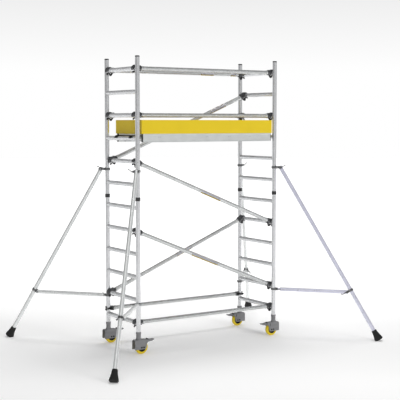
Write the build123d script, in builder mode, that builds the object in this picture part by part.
from build123d import *
import os
from math import cos, pi, radians, sin

# Mobile tower scaffold, in millimetres. The origin is on the floor under the middle of the
# four uprights, +X runs along the bay, +Y towards the back and +Z up.

# Tower
BAY_LENGTH = 1840.0  # between upright axes, along X
BAY_WIDTH = 688.0  # between upright axes, along Y
TUBE_RADIUS = 25.0
TUBE_WALL = 2.5
UPRIGHT_FOOT = 233.0
FRAME_JOINT = 1690.0  # where a top frame stands on a base frame
UPRIGHT_TOP = 3211.0
CAP_HEIGHT = 14.0
RUNG_PITCH = 250.0
LOWEST_RUNG = 341.0
FRAME_RUNGS = 6
RUNG_RADIUS = 24.0
RUNG_BORE = 20.5
SLACK = 0.05  # between fixed pieces that fit inside one another

# Braces
BRACE_RADIUS = 22.5
BRACE_BORE = 19.5
BRACE_PLANE = BAY_WIDTH / 2 - 48.0  # braces sit against the inside of the uprights
INNER_BRACE_PLANE = BRACE_PLANE - 46.0  # the brace behind the platform
BACK_BASE_BRACE = 400.0
CLAW_MOUTH = 25.3
CLAW_RADIUS = 36.0
CLAW_WIDTH = 44.0
CLAW_LENGTH = 90.0

# Platform
PLATFORM_RUNG = 8
DECK_TOP = 2390.0
DECK_THICKNESS = 12.0
DECK_HALF_LENGTH = 858.0
EDGE_LIP = 6.0  # the hook bar's lip beyond the end of the plywood
PLATFORM_FRONT = -354.0
PLATFORM_BACK = 222.0
BEAM_WIDTH = 35.0
BEAM_DEPTH = 91.0
SHELF = 12.0  # a ledge along each beam that carries the plywood
SHELF_HEIGHT = 4.0
TOE_HEIGHT = 150.0
TOE_THICKNESS = 18.0
TOE_HALF_LENGTH = 875.0
HOOK_PLACES = (-226.0, 94.0)
HATCH_LEFT = -640.0
HATCH_RIGHT = -40.0
HINGE_Y = PLATFORM_BACK - BEAM_WIDTH - 5.0
HINGE_RADIUS = 5.0
CATCH_AT = (-340.0, -292.0)

# Casters, measured from the upright's axis towards the middle of the tower
WHEEL_RADIUS = 75.0
HUB_RADIUS = 49.0
TRAIL = 35.0
AXLE_RADIUS = 6.0
FORK_HALF_WIDTH = 33.5
FORK_PLATE = 5.5
FORK_ROOF = 8.0
AXLE_SIGHT = 14.0  # from the axle to the round hole on each side of it
FORK_TOP = 160.0
SLEEVE_TOP = 245.0
STEM_RADIUS = 11.0
RUNNING_FIT = 0.06
BRAKE_PIVOT = (92.0, 143.0)
BRAKE_PIN = 3.0

# Stabilisers, measured outwards from the upright's axis
STABILISER_ANGLE = 48.9  # between the stabiliser and the X axis, seen from above
TOP_BRACKET = 1990.0
TOP_PIVOT = 75.0
LEG_RADIUS = 22.5
LEG_LEAN = 30.6  # from vertical
LOW_BRACKET = 552.0
ARM_RADIUS = 21.0
ARM_OFFSET = 48.0  # from the leg's axis to the arm's pivot
CRADLE = 56.0
BRACKET_BORE = 25.35
BRACKET_RADIUS = 31.5
CHEEK_INSIDE = 23.4
CHEEK_OUTSIDE = 28.9
FOOT_LENGTH = 125.0
FOOT_RADIUS = 50.0

HALF_BAY = BAY_LENGTH / 2
HALF_WIDTH = BAY_WIDTH / 2
CORNERS = {
    "front_left": (-1, -1),
    "front_right": (1, -1),
    "back_left": (-1, 1),
    "back_right": (1, 1),
}
UP = Vector(0, 0, 1)

os.makedirs("parts", exist_ok=True)


def save(builder, name):
    builder.part.label = name
    export_step(builder.part, f"parts/{name}.step")


def rung_height(level):
    return LOWEST_RUNG + RUNG_PITCH * level


def upright_spots(height):
    """One location on each upright's axis."""
    return [Location((sx * HALF_BAY, sy * HALF_WIDTH, height)) for sx, sy in CORNERS.values()]


def tube_rings(radius, bore):
    """Four rings on the uprights' axes, in a horizontal sketch."""
    with GridLocations(BAY_LENGTH, BAY_WIDTH, 2, 2):
        Circle(radius)
        Circle(bore, mode=Mode.SUBTRACT)


def ribbed_section(radius, bore, ribs=20, depth=0.9):
    """A tube's section with low flat ribs around it, in the current sketch."""
    pitch = 2 * pi / ribs
    outline = []
    for rib in range(ribs):
        for share, reach in ((0.0, radius), (0.42, radius), (0.56, radius - depth), (0.86, radius - depth)):
            turn = pitch * (rib + share)
            outline.append((reach * cos(turn), reach * sin(turn)))
    Polygon(*outline, align=None)
    Circle(bore, mode=Mode.SUBTRACT)


def arc_over(radius):
    """Half circle over the origin, from +X to -X, in the current line."""
    CenterArc((0, 0), radius, 0, 180)


# End frames

with BuildPart() as base_uprights:
    with BuildSketch(Plane.XY.offset(UPRIGHT_FOOT)):
        tube_rings(TUBE_RADIUS, TUBE_RADIUS - TUBE_WALL)
    extrude(amount=FRAME_JOINT - SLACK - UPRIGHT_FOOT)
save(base_uprights, "base_uprights")

with BuildPart() as top_uprights:
    with BuildSketch(Plane.XY.offset(FRAME_JOINT + SLACK)):
        tube_rings(TUBE_RADIUS, TUBE_RADIUS - TUBE_WALL)
    extrude(amount=UPRIGHT_TOP - FRAME_JOINT - SLACK)
save(top_uprights, "top_uprights")

with BuildPart() as rung:
    with BuildSketch(Plane.XZ):
        ribbed_section(RUNG_RADIUS, RUNG_BORE)
    extrude(amount=HALF_WIDTH, both=True)
    with BuildSketch(Plane.XY.offset(-2 * RUNG_RADIUS)):
        with GridLocations(BAY_LENGTH, BAY_WIDTH, 1, 2):
            Circle(TUBE_RADIUS + SLACK)
    extrude(amount=4 * RUNG_RADIUS, mode=Mode.SUBTRACT)

for frame, first in (("base", 0), ("top", FRAME_RUNGS)):
    levels = range(first, first + FRAME_RUNGS)
    with BuildPart() as rungs:
        with Locations(*[(sx * HALF_BAY, 0, rung_height(level)) for sx in (-1, 1) for level in levels]):
            add(rung.part)
    save(rungs, f"{frame}_rungs")

COLLAR_REACH = 20.0
COLLAR_RADIUS = 28.0
with BuildPart() as joint_collars:
    with BuildSketch(Plane.XY.offset(FRAME_JOINT - COLLAR_REACH)):
        tube_rings(COLLAR_RADIUS, TUBE_RADIUS + SLACK)
    extrude(amount=2 * COLLAR_REACH)
    with BuildSketch(Plane.XY.offset(FRAME_JOINT - 2)):
        tube_rings(COLLAR_RADIUS + 1, COLLAR_RADIUS - 1.2)
    extrude(amount=4, mode=Mode.SUBTRACT)
    rims = joint_collars.edges().filter_by(GeomType.CIRCLE)
    chamfer(rims.group_by(Axis.Z)[0].filter_by(lambda e: e.radius > 27), 1.0)
    rims = joint_collars.edges().filter_by(GeomType.CIRCLE)
    chamfer(rims.group_by(Axis.Z)[-1].filter_by(lambda e: e.radius > 27), 1.0)
save(joint_collars, "joint_collars")

SPIGOT_REACH = 100.0
with BuildPart() as joint_spigots:
    with BuildSketch(Plane.XY.offset(FRAME_JOINT - SPIGOT_REACH)):
        tube_rings(TUBE_RADIUS - TUBE_WALL - SLACK, TUBE_RADIUS - TUBE_WALL - 3.5)
    extrude(amount=2 * SPIGOT_REACH)
save(joint_spigots, "joint_spigots")


# Braces: each is a ribbed tube with a claw at both ends. A brace's line runs from rung axis
# to rung axis, and a claw's own frame has its origin on the rung, X along the brace.


def brace_ends(start, end, grip=None):
    """The two claw planes of a brace: X towards the other end and Y out of the claw's back."""
    along = (Vector(*end) - Vector(*start)).normalized()
    back = grip if grip else Vector(-along.Z, 0, along.X)
    planes = []
    for origin, ahead in ((start, along), (end, along * -1)):
        planes.append(Plane(origin=origin, x_dir=ahead, z_dir=ahead.cross(back)))
    return planes


def level_brace(height, y):
    return ((-HALF_BAY, y, height), (HALF_BAY, y, height))


def diagonal_brace(left_level, right_level, y):
    return ((-HALF_BAY, y, rung_height(left_level)), (HALF_BAY, y, rung_height(right_level)))


guardrails = [level_brace(rung_height(level), y) for level in (9, 11) for y in (-BRACE_PLANE, BRACE_PLANE)]
diagonals = [
    diagonal_brace(7, 4, -BRACE_PLANE),
    diagonal_brace(4, 1, -BRACE_PLANE),
    diagonal_brace(7, 10, INNER_BRACE_PLANE),
    diagonal_brace(1, 4, BRACE_PLANE),
]
front_base = level_brace(rung_height(0), -BRACE_PLANE)
back_base = level_brace(BACK_BASE_BRACE, HALF_WIDTH)

for name, braces in (
    ("guardrail_tubes", guardrails),
    ("diagonal_brace_tubes", diagonals),
    ("base_brace_tubes", [front_base, back_base]),
):
    with BuildPart() as tubes:
        for start, end in braces:
            along = (Vector(*end) - Vector(*start)).normalized()
            length = (Vector(*end) - Vector(*start)).length
            mouth = Vector(*start) + along * (CLAW_LENGTH + SLACK)
            with BuildSketch(Plane(origin=mouth, x_dir=(0, 1, 0), z_dir=along)):
                ribbed_section(BRACE_RADIUS, BRACE_BORE)
            extrude(amount=length - 2 * (CLAW_LENGTH + SLACK))
    save(tubes, name)

TRIGGER_SLOT = 17.0
TRIGGER_WIDTH = 14.0
TRIGGER_PIVOT = (50.0, -15.0)
TRIGGER_PIN = 3.5
CLAW_NOSE = 16.0
with BuildPart() as claw:
    with BuildSketch():
        with BuildLine():
            arc_over(CLAW_RADIUS)
            arc_over(CLAW_MOUTH)
            Polyline((CLAW_MOUTH, 0), (CLAW_MOUTH, -28), (50, -29), (72, -22), (CLAW_LENGTH, -22),
                     (CLAW_LENGTH, 22), (62, 24), (CLAW_RADIUS, 16), (CLAW_RADIUS, 0))
            Polyline((-CLAW_MOUTH, 0), (-CLAW_MOUTH, -CLAW_NOSE), (-CLAW_RADIUS + 2, -CLAW_NOSE - 5),
                     (-CLAW_RADIUS, 0))
        make_face()
    extrude(amount=CLAW_WIDTH / 2, both=True)
    for side in (-1, 1):  # lightening pockets in both cheeks leave a rim and a middle web
        with BuildSketch(Plane.XY.offset(side * CLAW_WIDTH / 2)):
            with Locations((74, 0)):
                RectangleRounded(20, 30, 4)
        extrude(amount=-side * 6, mode=Mode.SUBTRACT)
    with BuildSketch(Plane.XY.offset(-TRIGGER_SLOT / 2)):
        with Locations((42, -20)):
            Rectangle(44, 30)
    extrude(amount=TRIGGER_SLOT, mode=Mode.SUBTRACT)
    with BuildSketch(Plane.YZ.offset(CLAW_LENGTH)):
        Circle(BRACE_BORE - 2 * SLACK)
    extrude(amount=45)
    with BuildSketch(Plane.XY.offset(-CLAW_WIDTH)):
        with Locations(TRIGGER_PIVOT):
            Circle(TRIGGER_PIN + SLACK)
    extrude(amount=2 * CLAW_WIDTH, mode=Mode.SUBTRACT)

with BuildPart() as trigger:
    with BuildSketch():
        with BuildLine():
            Polyline((57, -9), (46, -7), (26, -42), (21, -46), (12, -27.5), (-20, -27), (-26, -33),
                     (-27, -47), (-21, -48), (-18, -34), (4, -35), (16, -56), (22, -59), (28, -56),
                     (56, -20), close=True)
        make_face()
    extrude(amount=TRIGGER_WIDTH / 2, both=True)
    with BuildSketch(Plane.XY.offset(-CLAW_WIDTH / 2)):
        with Locations(TRIGGER_PIVOT):
            Circle(TRIGGER_PIN)
    extrude(amount=CLAW_WIDTH)

claw_planes = []
for start, end in guardrails + diagonals + [front_base]:
    claw_planes += brace_ends(start, end)
claw_planes += brace_ends(*back_base, grip=Vector(0, 1, 0))
for name, casting in (("brace_claws", claw), ("brace_triggers", trigger)):
    with BuildPart() as castings:
        with Locations(*claw_planes):
            add(casting.part)
    save(castings, name)


# Platform

BEAM_BOTTOM = DECK_TOP - BEAM_DEPTH
DECK_BOTTOM = DECK_TOP - DECK_THICKNESS
LIP = 14.0
WEB_STEP = 3.0
BEAM_WALL = 2.5
BEAM_END = DECK_HALF_LENGTH - 1
PANEL_END = DECK_HALF_LENGTH - EDGE_LIP - 0.5
with BuildPart() as platform_side_beams:
    for outside, inward in ((PLATFORM_FRONT, 1), (PLATFORM_BACK, -1)):
        with BuildSketch(Plane.YZ.offset(-BEAM_END)):
            with BuildLine():
                inside = outside + inward * BEAM_WIDTH
                step = outside + inward * WEB_STEP
                Polyline((outside, DECK_TOP), (outside, DECK_TOP - LIP), (step, DECK_TOP - LIP - 2),
                         (step, BEAM_BOTTOM + 10), (outside, BEAM_BOTTOM + 8), (outside, BEAM_BOTTOM),
                         (inside, BEAM_BOTTOM), (inside, DECK_TOP), close=True)
            make_face()
            hollow_width = BEAM_WIDTH - WEB_STEP - 2 * BEAM_WALL
            with Locations((step + inward * (BEAM_WALL + hollow_width / 2), DECK_TOP - BEAM_DEPTH / 2)):
                Rectangle(hollow_width, BEAM_DEPTH - 2 * BEAM_WALL, mode=Mode.SUBTRACT)
        extrude(amount=2 * BEAM_END)
        with BuildSketch(Plane.YZ.offset(-PANEL_END)):
            with Locations((inside + inward * (SLACK + SHELF) / 2, DECK_BOTTOM - SHELF_HEIGHT / 2)):
                Rectangle(SHELF - SLACK, SHELF_HEIGHT)
        extrude(amount=2 * PANEL_END)
save(platform_side_beams, "platform_side_beams")

BAR_THICKNESS = 26.0
BAR_BOTTOM = DECK_BOTTOM - 54
BAR_TOP = DECK_BOTTOM - SHELF_HEIGHT
INSIDE_FRONT = PLATFORM_FRONT + BEAM_WIDTH
INSIDE_BACK = PLATFORM_BACK - BEAM_WIDTH
INSIDE_WIDTH = INSIDE_BACK - INSIDE_FRONT
INSIDE_MIDDLE = (INSIDE_BACK + INSIDE_FRONT) / 2
MEMBER_HEIGHT = 40.0
MEMBER_WIDTH = 40.0
MEMBER_PLACES = (HATCH_LEFT - 10, HATCH_RIGHT + 10, 275.0, 560.0)
with BuildPart() as platform_cross_members:
    with BuildSketch(Plane.XZ.offset(-INSIDE_BACK)):
        with Locations(*[(x, DECK_BOTTOM - SHELF_HEIGHT - MEMBER_HEIGHT / 2) for x in MEMBER_PLACES]):
            Rectangle(MEMBER_WIDTH, MEMBER_HEIGHT)
            Rectangle(MEMBER_WIDTH - 4, MEMBER_HEIGHT - 4, mode=Mode.SUBTRACT)
    extrude(amount=INSIDE_WIDTH)
save(platform_cross_members, "platform_cross_members")

with BuildPart() as deck_panels:
    with BuildSketch(Plane.XY.offset(DECK_BOTTOM)):
        for left, right in ((-PANEL_END, HATCH_LEFT), (HATCH_RIGHT, PANEL_END)):
            with Locations(((left + right) / 2, INSIDE_MIDDLE)):
                Rectangle(right - left, INSIDE_WIDTH - 1)
    extrude(amount=DECK_THICKNESS)
save(deck_panels, "deck_panels")

# The platform hangs on the rungs by hooks on a bar across each end.
HOOK_WIDTH = 40.0
HOOK_RADIUS = 36.0
HOOK_MOUTH = 24.4
HOOK_REACH = HALF_BAY - DECK_HALF_LENGTH
hook_rung = rung_height(PLATFORM_RUNG)
LOCK_PIVOT = DECK_HALF_LENGTH - BAR_THICKNESS / 2
LOCK_PIN = 5.0
LOCK_Y = -60.0
LOCK_TOP = hook_rung - RUNG_RADIUS - 2.5
LOCK_LENGTH = 100.0
LOCK_WIDTH = 20.0
with BuildPart() as hook_bar:
    for y in HOOK_PLACES:
        with BuildSketch(Plane.XZ.offset(-y - HOOK_WIDTH / 2)):
            with BuildLine():
                arc_over(HOOK_MOUTH)
                CenterArc((0, 0), HOOK_RADIUS, 60, 120)
                Polyline((HOOK_RADIUS * cos(pi / 3), HOOK_RADIUS * sin(pi / 3)), (HOOK_REACH, 33),
                         (HOOK_REACH, -12), (HOOK_RADIUS, -16), (HOOK_MOUTH, -16), (HOOK_MOUTH, 0))
                Polyline((-HOOK_MOUTH, 0), (-HOOK_MOUTH, -14), (-HOOK_RADIUS + 3, -19), (-HOOK_RADIUS, 0))
            make_face()
        extrude(amount=HOOK_WIDTH)
    with BuildSketch(Plane.XZ.offset(-INSIDE_BACK)):
        with Locations((HOOK_REACH + BAR_THICKNESS / 2, (BAR_BOTTOM + BAR_TOP) / 2 - hook_rung)):
            Rectangle(BAR_THICKNESS, BAR_TOP - BAR_BOTTOM)
        with Locations((HOOK_REACH + EDGE_LIP / 2, (BAR_BOTTOM + DECK_TOP) / 2 - hook_rung)):
            Rectangle(EDGE_LIP, DECK_TOP - BAR_BOTTOM)
    extrude(amount=INSIDE_WIDTH)
    with BuildSketch(Plane.XY.offset(BAR_BOTTOM - hook_rung)):
        with Locations((HALF_BAY - LOCK_PIVOT, LOCK_Y)):
            Circle(LOCK_PIN + RUNNING_FIT)
    extrude(amount=16, mode=Mode.SUBTRACT)
with BuildPart() as platform_hook_bars:
    add(hook_bar.part.moved(Location((-HALF_BAY, 0, hook_rung))))
    add(mirror(hook_bar.part, Plane.YZ, mode=Mode.PRIVATE).moved(Location((HALF_BAY, 0, hook_rung))))
save(platform_hook_bars, "platform_hook_bars")

# A wind lock is a tongue on a pin in the hook bar, and it swings under the rung.
for side, name in ((-1, "wind_lock_left"), (1, "wind_lock_right")):
    with BuildPart() as wind_lock:
        with BuildSketch(Plane.XY.offset(LOCK_TOP)):
            with Locations((side * (LOCK_PIVOT + LOCK_LENGTH / 2 - LOCK_WIDTH / 2), LOCK_Y)):
                SlotOverall(LOCK_LENGTH, LOCK_WIDTH)
        extrude(amount=-5)
        with BuildSketch(Plane.XY.offset(LOCK_TOP)):
            with Locations((side * LOCK_PIVOT, LOCK_Y)):
                Circle(8)
        extrude(amount=BAR_BOTTOM - 0.5 - LOCK_TOP)
        with BuildSketch(Plane.XY.offset(BAR_BOTTOM - 0.5)):
            with Locations((side * LOCK_PIVOT, LOCK_Y)):
                Circle(LOCK_PIN)
        extrude(amount=15)
    save(wind_lock, name)

with BuildPart() as toe_boards:
    with BuildSketch(Plane.XY.offset(DECK_TOP + SLACK)):
        toe_middle = (PLATFORM_FRONT + PLATFORM_BACK) / 2
        toe_width = PLATFORM_BACK - PLATFORM_FRONT
        with Locations((0, PLATFORM_FRONT + TOE_THICKNESS / 2), (0, PLATFORM_BACK - TOE_THICKNESS / 2)):
            Rectangle(2 * TOE_HALF_LENGTH, TOE_THICKNESS)
        with Locations((-TOE_HALF_LENGTH + TOE_THICKNESS / 2, toe_middle),
                       (TOE_HALF_LENGTH - TOE_THICKNESS / 2, toe_middle)):
            Rectangle(TOE_THICKNESS, toe_width - 2 * TOE_THICKNESS - 1)
    extrude(amount=TOE_HEIGHT)
    top_edges = toe_boards.faces().sort_by(Axis.Z)[-4:].edges()
    fillet(top_edges, 2.5)
save(toe_boards, "toe_boards")


# Trapdoor in the deck, hinged along its back edge

KNUCKLES = 7
HINGE_LENGTH = 560.0
HINGE_LEAF = 2.5
HINGE_PIN = 2.2
HINGE_Z = DECK_TOP + HINGE_RADIUS - 2
knuckle = HINGE_LENGTH / KNUCKLES
hatch_middle = (HATCH_LEFT + HATCH_RIGHT) / 2
hinge_start = hatch_middle - HINGE_LENGTH / 2


def hinge_leaf(first, near, far, bore):
    """A leaf from the pin to far with every second knuckle, starting with number first."""
    with BuildSketch(Plane.YZ.offset(hinge_start)) as leaf:
        with Locations(((near + far) / 2, DECK_TOP + 0.1 + HINGE_LEAF / 2)):
            Rectangle(abs(far - near), HINGE_LEAF)
    extrude(leaf.sketch, amount=HINGE_LENGTH)
    for number in range(first, KNUCKLES, 2):
        with BuildSketch(Plane.YZ.offset(hinge_start + number * knuckle + 0.4)) as barrel:
            with Locations((HINGE_Y, HINGE_Z)):
                Circle(HINGE_RADIUS)
            with Locations(((HINGE_Y + near) / 2, DECK_TOP + 0.1 + HINGE_LEAF / 2)):
                Rectangle(abs(HINGE_Y - near) + 2, HINGE_LEAF)
            with Locations((HINGE_Y, HINGE_Z)):
                Circle(bore, mode=Mode.SUBTRACT)
        extrude(barrel.sketch, amount=knuckle - 0.8)


with BuildPart() as deck_hinge_leaf:
    hinge_leaf(0, HINGE_Y + 6, HINGE_Y + 19, HINGE_PIN - 1)
    with BuildSketch(Plane.YZ.offset(hinge_start + 0.4)):
        with Locations((HINGE_Y, HINGE_Z)):
            Circle(HINGE_PIN)
    extrude(amount=HINGE_LENGTH - 0.8)
save(deck_hinge_leaf, "deck_hinge_leaf")

with BuildPart() as hatch_hinge_leaf:
    hinge_leaf(1, HINGE_Y - 6, HINGE_Y - 34, HINGE_PIN + RUNNING_FIT)
save(hatch_hinge_leaf, "hatch_hinge_leaf")

HATCH_GAP = 2.0
hatch_front = INSIDE_FRONT + HATCH_GAP
hatch_back = HINGE_Y - 2.5
CATCH_SPINDLE = 6.0
with BuildPart() as hatch_panel:
    with BuildSketch(Plane.XY.offset(DECK_BOTTOM + 0.4)):
        with Locations((hatch_middle, (hatch_front + hatch_back) / 2)):
            Rectangle(HATCH_RIGHT - HATCH_LEFT - 2 * HATCH_GAP, hatch_back - hatch_front)
        with Locations(CATCH_AT):
            Circle(CATCH_SPINDLE + RUNNING_FIT, mode=Mode.SUBTRACT)
        with Locations((hatch_middle + 140, CATCH_AT[1] + 30)):  # finger hole
            SlotOverall(100, 34, mode=Mode.SUBTRACT)
    extrude(amount=DECK_THICKNESS - 0.4)
    with BuildSketch(Plane.YZ.offset(HATCH_LEFT)):
        with Locations((HINGE_Y, HINGE_Z)):
            Circle(HINGE_RADIUS + 0.6)
    extrude(amount=HATCH_RIGHT - HATCH_LEFT, mode=Mode.SUBTRACT)
save(hatch_panel, "hatch_panel")

CATCH_TONGUE = DECK_BOTTOM - 5.0
with BuildPart() as hatch_catch:
    with BuildSketch(Plane.XY.offset(CATCH_TONGUE - 6)):
        with Locations(CATCH_AT):
            Circle(CATCH_SPINDLE)
    extrude(amount=DECK_TOP + 1 - CATCH_TONGUE + 6)
    with BuildSketch(Plane.XY.offset(CATCH_TONGUE)):
        with Locations(CATCH_AT):
            SlotOverall(44, 16)
    extrude(amount=-6)
    with BuildSketch(Plane.XY.offset(DECK_TOP + 0.5)):
        with Locations(CATCH_AT):
            Circle(13)
    extrude(amount=3)
    with BuildSketch(Plane.XY.offset(DECK_TOP + 3)):
        with Locations(CATCH_AT):
            SlotOverall(24, 6)
    extrude(amount=7)
save(hatch_catch, "hatch_catch")


# Black end caps, on the uprights and on the platform's beams

with BuildPart() as upright_cap:
    with BuildSketch(Plane.XY.offset(-22)):
        Circle(TUBE_RADIUS - TUBE_WALL - SLACK)
    extrude(amount=22)
    with BuildSketch():
        Circle(TUBE_RADIUS)
    extrude(amount=CAP_HEIGHT)
    fillet(upright_cap.edges().group_by(Axis.Z)[-1], 3)
BEAM_CAP = 3.0
with BuildPart() as end_caps:
    with Locations(*upright_spots(UPRIGHT_TOP)):
        add(upright_cap.part)
    for outside, inward in ((PLATFORM_FRONT, 1), (PLATFORM_BACK, -1)):
        middle = outside + inward * BEAM_WIDTH / 2
        for end in (-1, 1):
            with BuildSketch(Plane.YZ.offset(end * BEAM_END)):
                with Locations((middle, DECK_TOP - BEAM_DEPTH / 2)):
                    RectangleRounded(BEAM_WIDTH, BEAM_DEPTH - 0.2, 2)
            extrude(amount=end * BEAM_CAP)
save(end_caps, "end_caps")


# Casters: a sleeve under each upright, then a fork that swivels in it, a wheel and a brake

with BuildPart() as sleeve:
    with BuildSketch(Plane.XZ):
        with BuildLine():
            Polyline((STEM_RADIUS + RUNNING_FIT, FORK_TOP + 7), (30, FORK_TOP + 7), (25.5, FORK_TOP + 20),
                     (25.5, 222), (28, 226), (29, 232), (29, 238), (28, SLEEVE_TOP),
                     (TUBE_RADIUS + SLACK, SLEEVE_TOP), (TUBE_RADIUS + SLACK, UPRIGHT_FOOT - SLACK),
                     (STEM_RADIUS + RUNNING_FIT, UPRIGHT_FOOT - SLACK), close=True)
        make_face()
    revolve(axis=Axis.Z)
with BuildPart() as caster_sleeves:
    with Locations(*upright_spots(0)):
        add(sleeve.part)
save(caster_sleeves, "caster_sleeves")

with BuildPart() as fork:
    with BuildSketch(Plane.XZ):
        with BuildLine():
            Polyline((-62, 57), (-62, 145), (-54, FORK_TOP), (46, FORK_TOP), (84, 159), (108, 152),
                     (112, 134), (96, 124), (89, 112), (84, 78), (78, 62), (66, 54), (-56, 54), close=True)
        make_face()
    extrude(amount=FORK_HALF_WIDTH, both=True)
    chamfer(fork.faces().filter_by(Axis.Y).edges(), 1.5)
    with BuildSketch(Plane.XY.offset(30)):
        Rectangle(300, 2 * (FORK_HALF_WIDTH - FORK_PLATE))
    extrude(amount=FORK_TOP - FORK_ROOF - 30, mode=Mode.SUBTRACT)
    with BuildSketch(Plane.XZ):
        with BuildLine():
            Polyline((0, FORK_TOP - 2), (33, FORK_TOP - 2), (33, FORK_TOP + 1), (30, FORK_TOP + 6.5),
                     (STEM_RADIUS, FORK_TOP + 6.5), (STEM_RADIUS, UPRIGHT_FOOT - 4),
                     (0, UPRIGHT_FOOT - 4), close=True)
        make_face()
    revolve(axis=Axis.Z)
    with BuildSketch(Plane.XZ.offset(-FORK_HALF_WIDTH - 1)):
        with Locations((TRAIL - AXLE_SIGHT, WHEEL_RADIUS), (TRAIL + AXLE_SIGHT, WHEEL_RADIUS)):
            Circle(5.5)
        with Locations((TRAIL, WHEEL_RADIUS)):
            Circle(AXLE_RADIUS + SLACK)
        with Locations(BRAKE_PIVOT):
            Circle(BRAKE_PIN + RUNNING_FIT)
    extrude(amount=2 * FORK_HALF_WIDTH + 2, mode=Mode.SUBTRACT)

with BuildPart() as axle:
    with BuildSketch(Plane.XZ.offset(-FORK_HALF_WIDTH)):
        with Locations((TRAIL, WHEEL_RADIUS)):
            Circle(AXLE_RADIUS)
    extrude(amount=2 * FORK_HALF_WIDTH)

with BuildPart() as hub:
    with BuildSketch(Plane.XY.offset(WHEEL_RADIUS)):
        with BuildLine():
            bore = TRAIL + AXLE_RADIUS + RUNNING_FIT
            rim = TRAIL + HUB_RADIUS
            Polyline((bore, -25), (TRAIL + 17, -25), (TRAIL + 19, -14), (rim - 9, -12), (rim - 6, -20),
                     (rim, -20), (rim, 20), (rim - 6, 20), (rim - 9, 12), (TRAIL + 19, 14),
                     (TRAIL + 17, 25), (bore, 25), close=True)
        make_face()
    revolve(axis=Axis((TRAIL, 0, WHEEL_RADIUS), (0, 1, 0)))

with BuildPart() as tyre:
    with BuildSketch(Plane.XY.offset(WHEEL_RADIUS)):
        with BuildLine():
            seat = TRAIL + HUB_RADIUS + SLACK
            tread = TRAIL + WHEEL_RADIUS
            Polyline((tread - 6, 20), (seat, 20), (seat, -20), (tread - 6, -20))
            ThreePointArc((tread - 6, -20), (tread, 0), (tread - 6, 20))
        make_face()
    revolve(axis=Axis((TRAIL, 0, WHEEL_RADIUS), (0, 1, 0)))

PEDAL_HALF_WIDTH = 22.0
with BuildPart() as brake:
    with BuildSketch(Plane.XZ):
        with BuildLine():
            Polyline((80, 139.5), (100, 134), (128, 129), (162, 134), (184, 144), (190, 150), (184, 154),
                     (150, 152), (128, 156), (117, 160), (114, 149), (80, 149), close=True)
        make_face()
    extrude(amount=PEDAL_HALF_WIDTH, both=True)
    with BuildSketch(Plane.XY.offset(120)):  # the pedal narrows towards its tip
        with Locations((165, PEDAL_HALF_WIDTH + 11), (165, -PEDAL_HALF_WIDTH - 11)):
            Rectangle(90, 28)
    extrude(amount=50, mode=Mode.SUBTRACT)
    with BuildSketch(Plane.XZ.offset(-FORK_HALF_WIDTH + 0.5)):
        with Locations(BRAKE_PIVOT):
            Circle(BRAKE_PIN)
    extrude(amount=2 * FORK_HALF_WIDTH - 1)

for corner, (sx, sy) in CORNERS.items():
    spot = Plane(origin=(sx * HALF_BAY, sy * HALF_WIDTH, 0), x_dir=(-sx, 0, 0), z_dir=(0, 0, 1))
    for piece, pieces in (("fork", (fork, axle)), ("hub", (hub,)), ("tyre", (tyre,)), ("brake", (brake,))):
        with BuildPart() as placed:
            with Locations(spot):
                for source in pieces:
                    add(source.part)
        save(placed, f"caster_{corner}_{piece}")


# Stabilisers. Their own frame has its origin on the upright's axis, X outwards and Z up.

lean = radians(LEG_LEAN)
down_leg = Vector(sin(lean), 0, -cos(lean))
across_leg = Vector(cos(lean), 0, sin(lean))
leg_pivot = Vector(TOP_PIVOT, 0, TOP_BRACKET)
FOOT_CUT = 12.0
leg_length = (TOP_BRACKET - FOOT_CUT) / cos(lean)
arm_run = (TOP_BRACKET - LOW_BRACKET - ARM_OFFSET * sin(lean)) / cos(lean)
coupler_point = leg_pivot + down_leg * arm_run
arm_pivot = coupler_point - across_leg * ARM_OFFSET
PIVOT_BOLT = 5.0
TOP_HEIGHT = 27.0
LOW_HEIGHT = 24.0
CLAMP_BOLT = 4.0


def clamp_ring(height, thickness, reach):
    """A clamp round the upright with two flat cheeks that run outwards to reach."""
    with BuildSketch(Plane.XY.offset(height - thickness / 2)) as clamp:
        Circle(BRACKET_RADIUS)
        with Locations((reach / 2, 0)):
            Rectangle(reach, 2 * CHEEK_OUTSIDE)
        Circle(BRACKET_BORE, mode=Mode.SUBTRACT)
        with Locations((reach / 2 + 20, 0)):
            Rectangle(reach, 2 * CHEEK_INSIDE, mode=Mode.SUBTRACT)
    extrude(clamp.sketch, amount=thickness)


def side_plane(x, z):
    """Upright plane along the stabiliser with its origin at x, z: local X outwards, Y up."""
    return Plane(origin=(x, 0, z), x_dir=(1, 0, 0), z_dir=(0, -1, 0))


def cross_hole(x, z, radius):
    with BuildSketch(side_plane(x, z).offset(-60)) as hole:
        Circle(radius)
    extrude(hole.sketch, amount=120, mode=Mode.SUBTRACT)


def cross_bolt(x, z, radius, head, head_height=5.0):
    """A bolt across the cheeks at x, z, with a hexagon head and a nut outside them."""
    half = CHEEK_OUTSIDE + SLACK
    with BuildSketch(side_plane(x, z).offset(-half - 0.5)) as shank:
        Circle(radius)
    extrude(shank.sketch, amount=2 * half + 1)
    for side in (-1, 1):
        with BuildSketch(side_plane(x, z).offset(side * half)) as hexagon:
            RegularPolygon(head, 6)
        extrude(hexagon.sketch, amount=side * head_height)


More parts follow.
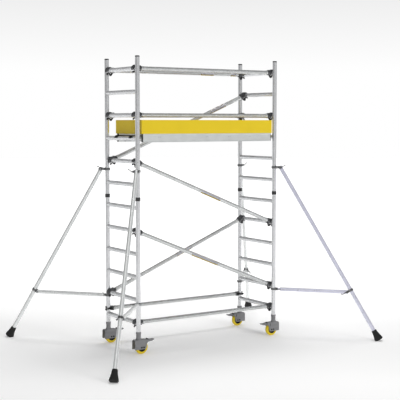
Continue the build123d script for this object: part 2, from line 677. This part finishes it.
def clamp_lever(x, z, reach, rise):
    """A cranked lever on the end of the bolt at x, z, standing away from the cheek."""
    face = CHEEK_OUTSIDE + SLACK + 5.0 + SLACK
    with BuildSketch(side_plane(x, z).offset(face)) as boss:
        Circle(LEVER_BOSS)
    extrude(boss.sketch, amount=9)
    swing = Vector(cos(radians(LEVER_ANGLE)), -sin(radians(LEVER_ANGLE)), 0)
    with BuildSketch(Plane(origin=(x, -face - 5, z), x_dir=swing, z_dir=swing.cross(UP))) as bar:
        with BuildLine():
            Polyline((0, -6), (14, -8), (reach * 0.8, rise - 8), (reach, rise - 6), (reach + 3, rise),
                     (reach - 2, rise + 4), (reach * 0.74, rise + 1), (12, 2), (0, 6), close=True)
        make_face()
    extrude(bar.sketch, amount=4.5, both=True)


TOP_CHEEK = 98.0
LOW_CHEEK = 62.0
TOP_CLAMP_AT = 41.0
LOW_CLAMP_AT = 38.0
LEVER_ANGLE = 24.0
LEVER_BOSS = 11.0
PIVOT_BOSS = 18.0
PIN_ROOM = 0.4
with BuildPart() as top_clamp:
    clamp_ring(TOP_BRACKET, TOP_HEIGHT, TOP_CHEEK)
    fillet(top_clamp.edges().filter_by(Axis.Y).group_by(Axis.X)[-1], 9)
    for side in (-1, 1):
        with BuildSketch(side_plane(TOP_PIVOT, TOP_BRACKET).offset(side * CHEEK_INSIDE)):
            Circle(PIVOT_BOSS)
        extrude(amount=side * (CHEEK_OUTSIDE - CHEEK_INSIDE))
    cross_hole(TOP_CLAMP_AT, TOP_BRACKET, CLAMP_BOLT + SLACK)
    cross_hole(TOP_PIVOT, TOP_BRACKET, PIVOT_BOLT + SLACK)

with BuildPart() as low_clamp:
    clamp_ring(LOW_BRACKET, LOW_HEIGHT, LOW_CHEEK)
    cross_hole(LOW_CLAMP_AT, LOW_BRACKET, CLAMP_BOLT + SLACK)
    cradle_floor = -PIVOT_BOLT - PIN_ROOM
    with BuildSketch(side_plane(CRADLE, LOW_BRACKET).offset(-60)):  # cradle, open above and outwards
        with Locations((cradle_floor - 1, cradle_floor)):
            Rectangle(40, 40, align=(Align.MIN, Align.MIN))
    extrude(amount=120, mode=Mode.SUBTRACT)

with BuildPart() as top_clamp_bolt:
    cross_bolt(TOP_CLAMP_AT, TOP_BRACKET, CLAMP_BOLT, 8)

with BuildPart() as low_clamp_bolt:
    cross_bolt(LOW_CLAMP_AT, LOW_BRACKET, CLAMP_BOLT, 8)

with BuildPart() as leg_bolt:
    cross_bolt(TOP_PIVOT, TOP_BRACKET, PIVOT_BOLT, 9)

with BuildPart() as top_lever:
    clamp_lever(TOP_PIVOT, TOP_BRACKET, 62, 20)

with BuildPart() as low_lever:
    clamp_lever(LOW_CLAMP_AT, LOW_BRACKET, 58, 10)

leg_frame = Plane(origin=leg_pivot, x_dir=across_leg, z_dir=(0, 1, 0))  # local Y runs down the leg
LEG_TOP = 14.0
SOCKET = 70.0
with BuildPart() as leg:
    with BuildSketch(Plane(origin=leg_pivot - down_leg * LEG_TOP, x_dir=(0, 1, 0), z_dir=down_leg)):
        Circle(LEG_RADIUS)
        Circle(LEG_RADIUS - TUBE_WALL, mode=Mode.SUBTRACT)
    extrude(amount=leg_length - FOOT_LENGTH + SOCKET + LEG_TOP - SLACK)
    cross_hole(TOP_PIVOT, TOP_BRACKET, PIVOT_BOLT + RUNNING_FIT)

with BuildPart() as foot:
    with BuildSketch(leg_frame):
        top = leg_length - FOOT_LENGTH
        socket_radius = LEG_RADIUS + SLACK
        with BuildLine():
            Polyline((0, top + SOCKET), (socket_radius, top + SOCKET), (socket_radius, top), (29, top),
                     (31, top + 3), (33, top + 22), (48, leg_length - 24), (FOOT_RADIUS, leg_length - 14),
                     (48, leg_length - 4), (42, leg_length), (0, leg_length), close=True)
        make_face()
    revolve(axis=Axis(leg_pivot, down_leg))
    split(bisect_by=Plane.XY, keep=Keep.TOP)  # the sole stands flat on the floor

COUPLER_HEIGHT = 26.0
COUPLER_REACH = 60.0
with BuildPart() as coupler:
    with BuildSketch(Plane(origin=coupler_point - down_leg * COUPLER_HEIGHT / 2, x_dir=-across_leg,
                           z_dir=down_leg)):
        Circle(CHEEK_OUTSIDE)
        with Locations((COUPLER_REACH / 2, 0)):
            Rectangle(COUPLER_REACH, 2 * CHEEK_OUTSIDE)
        Circle(LEG_RADIUS + SLACK, mode=Mode.SUBTRACT)
        with Locations((COUPLER_REACH / 2 + 18, 0)):
            Rectangle(COUPLER_REACH, 2 * CHEEK_INSIDE, mode=Mode.SUBTRACT)
    extrude(amount=COUPLER_HEIGHT)
    tips = coupler.edges().filter_by(Axis.Y).sort_by(Axis(coupler_point, -across_leg))[-4:]
    fillet(tips, 8)
    cross_hole(arm_pivot.X, arm_pivot.Z, PIVOT_BOLT + SLACK)

with BuildPart() as coupler_bolt:
    cross_bolt(arm_pivot.X, arm_pivot.Z, PIVOT_BOLT, 9)

with BuildPart() as coupler_lever:
    clamp_lever(arm_pivot.X, arm_pivot.Z, 50, -14)

ARM_PAST_PIVOT = 10.0
ARM_START = 84.0
TONGUE_THICKNESS = 10.0
TONGUE_HEIGHT = 18.0
PLUG_LENGTH = 45.0
with BuildPart() as arm_tube:
    with BuildSketch(Plane(origin=(ARM_START, 0, LOW_BRACKET), x_dir=(0, 1, 0), z_dir=(1, 0, 0))):
        Circle(ARM_RADIUS)
        Circle(ARM_RADIUS - TUBE_WALL, mode=Mode.SUBTRACT)
    extrude(amount=arm_pivot.X + ARM_PAST_PIVOT - ARM_START)
    cross_hole(arm_pivot.X, arm_pivot.Z, PIVOT_BOLT + RUNNING_FIT)

with BuildPart() as arm_end:
    with BuildSketch(Plane(origin=(ARM_START - 6, 0, LOW_BRACKET), x_dir=(0, 1, 0), z_dir=(1, 0, 0))):
        Circle(ARM_RADIUS - TUBE_WALL - SLACK)
    extrude(amount=6 + PLUG_LENGTH)
    with BuildSketch(side_plane(CRADLE, LOW_BRACKET)):
        Circle(TONGUE_HEIGHT / 2)
        with Locations((0, -TONGUE_HEIGHT / 2)):
            Rectangle(ARM_START - CRADLE, TONGUE_HEIGHT, align=(Align.MIN, Align.MIN))
    extrude(amount=TONGUE_THICKNESS / 2, both=True)
    with BuildSketch(side_plane(CRADLE, LOW_BRACKET)):
        Circle(PIVOT_BOLT)
    extrude(amount=CHEEK_OUTSIDE, both=True)

stabiliser_pieces = (
    ("brackets", (top_clamp, low_clamp, top_clamp_bolt, low_clamp_bolt, leg_bolt, top_lever, low_lever)),
    ("leg", (leg,)),
    ("foot", (foot,)),
    ("coupler", (coupler, coupler_bolt, coupler_lever)),
    ("arm", (arm_tube, arm_end)),
)
for corner, (sx, sy) in CORNERS.items():
    outwards = (sx * cos(radians(STABILISER_ANGLE)), sy * sin(radians(STABILISER_ANGLE)), 0)
    spot = Plane(origin=(sx * HALF_BAY, sy * HALF_WIDTH, 0), x_dir=outwards, z_dir=(0, 0, 1))
    for piece, pieces in stabiliser_pieces:
        with BuildPart() as placed:
            with Locations(spot):
                for source in pieces:
                    add(source.part)
        save(placed, f"stabiliser_{corner}_{piece}")
